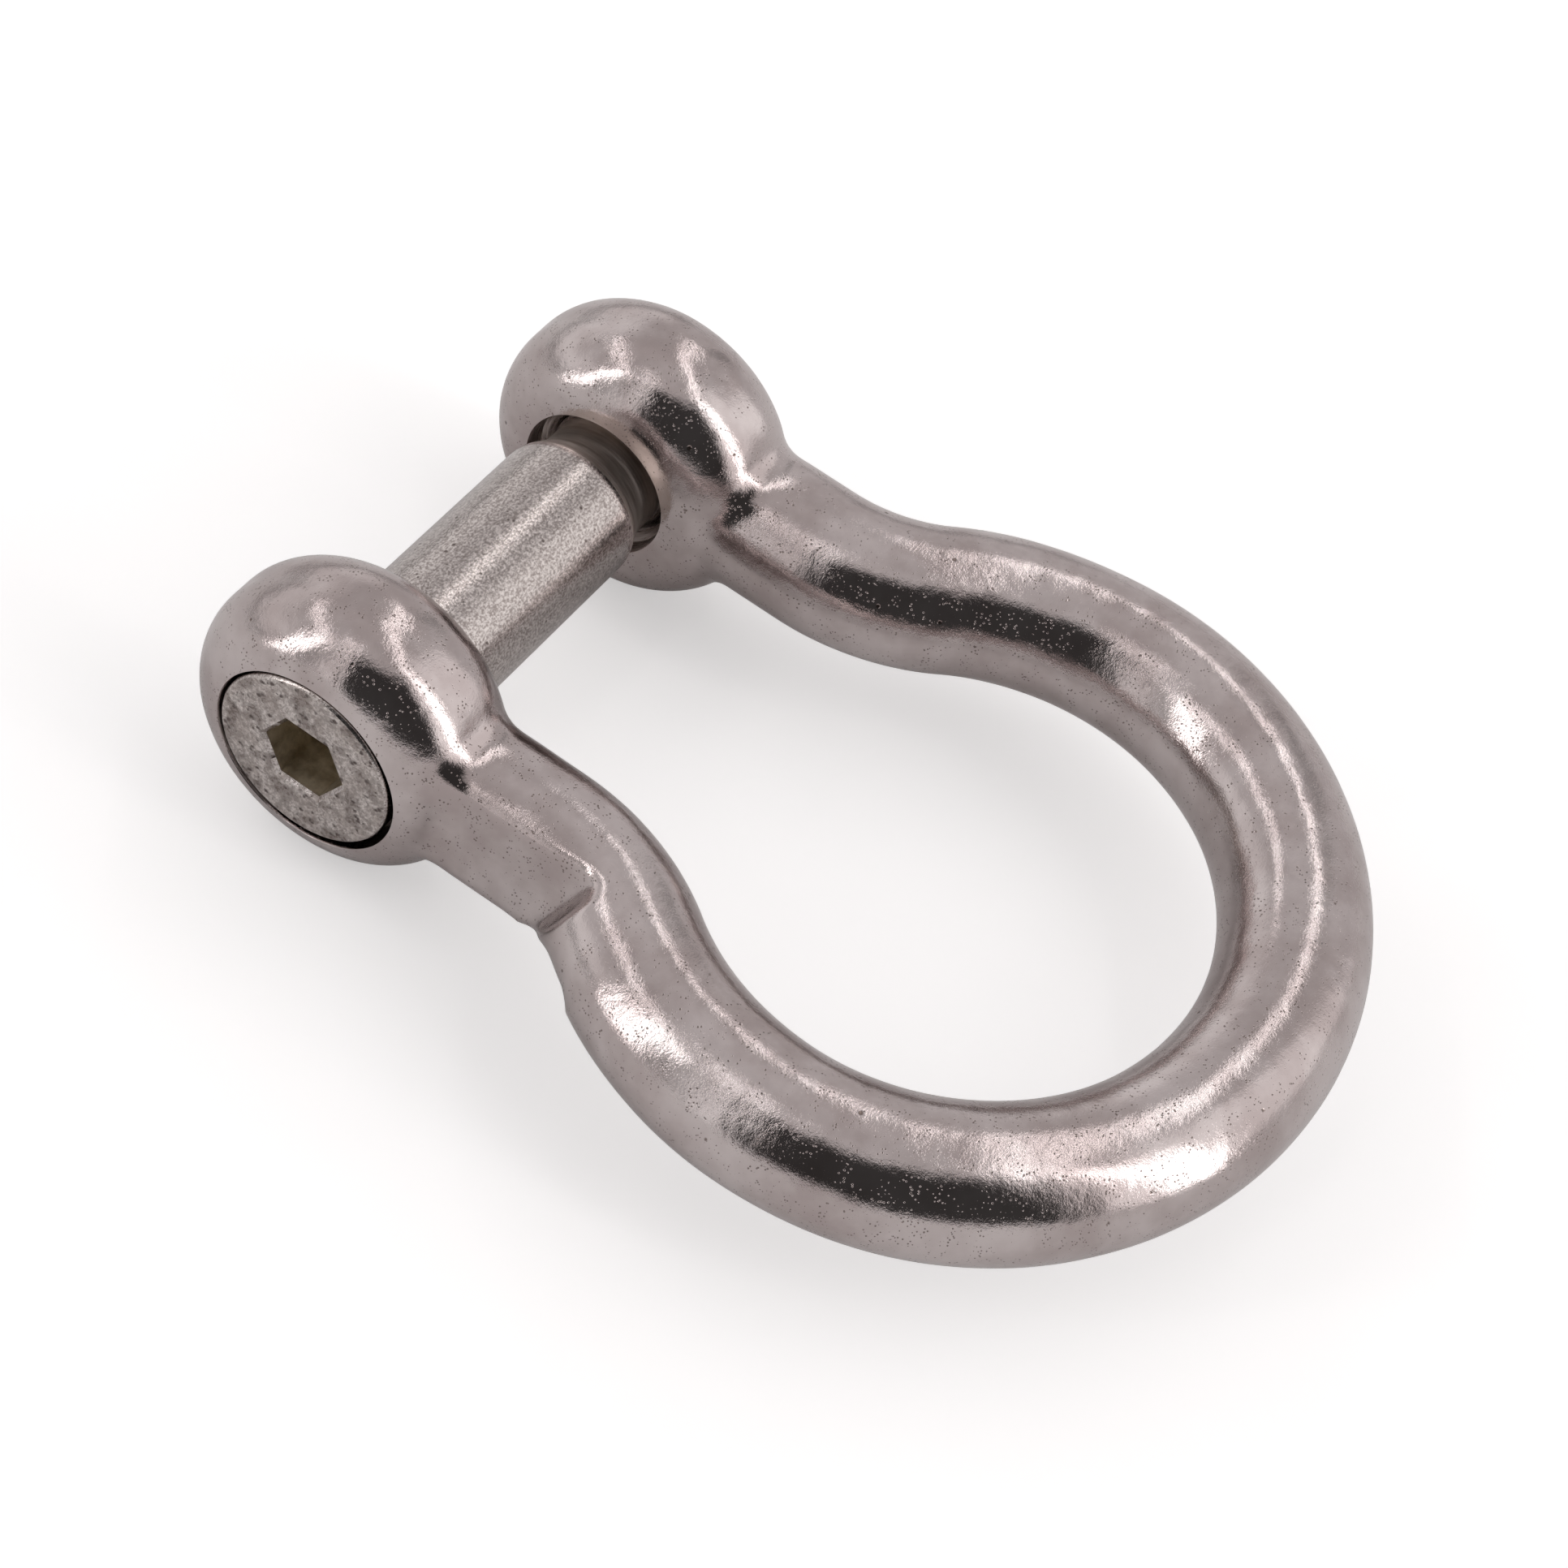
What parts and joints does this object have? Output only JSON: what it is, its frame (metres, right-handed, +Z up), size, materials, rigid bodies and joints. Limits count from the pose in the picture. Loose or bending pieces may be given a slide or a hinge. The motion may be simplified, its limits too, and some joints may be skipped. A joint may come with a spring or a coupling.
{
  "type": "bow shackle",
  "caption": "Bow shackle with a countersunk screw pin turned by a hexagon key, for joining lines, eyes and blocks.",
  "frame": {"origin": "on the pin's axis, halfway between the two ears", "axes": "+X along the pin towards its head, +Y from the pin to the crown of the bow, +Z up from the flat of the bow"},
  "size_m": [0.054, 0.0704, 0.02],
  "materials": {
    "cast_bow": "mirror-polished cast stainless steel with fine pits",
    "turned_pin": "turned stainless steel, finely brushed along the shank, with a matt pitted head"
  },
  "bodies": {
    "bow": {"bow": "cast_bow"},
    "pin": {"pin": "turned_pin"}
  },
  "joints": [
    {"name": "pin_withdraw", "type": "slide", "parent": "bow", "child": "pin", "axis": [1, 0, 0], "range_m": [0, 0.063]}
  ]
}
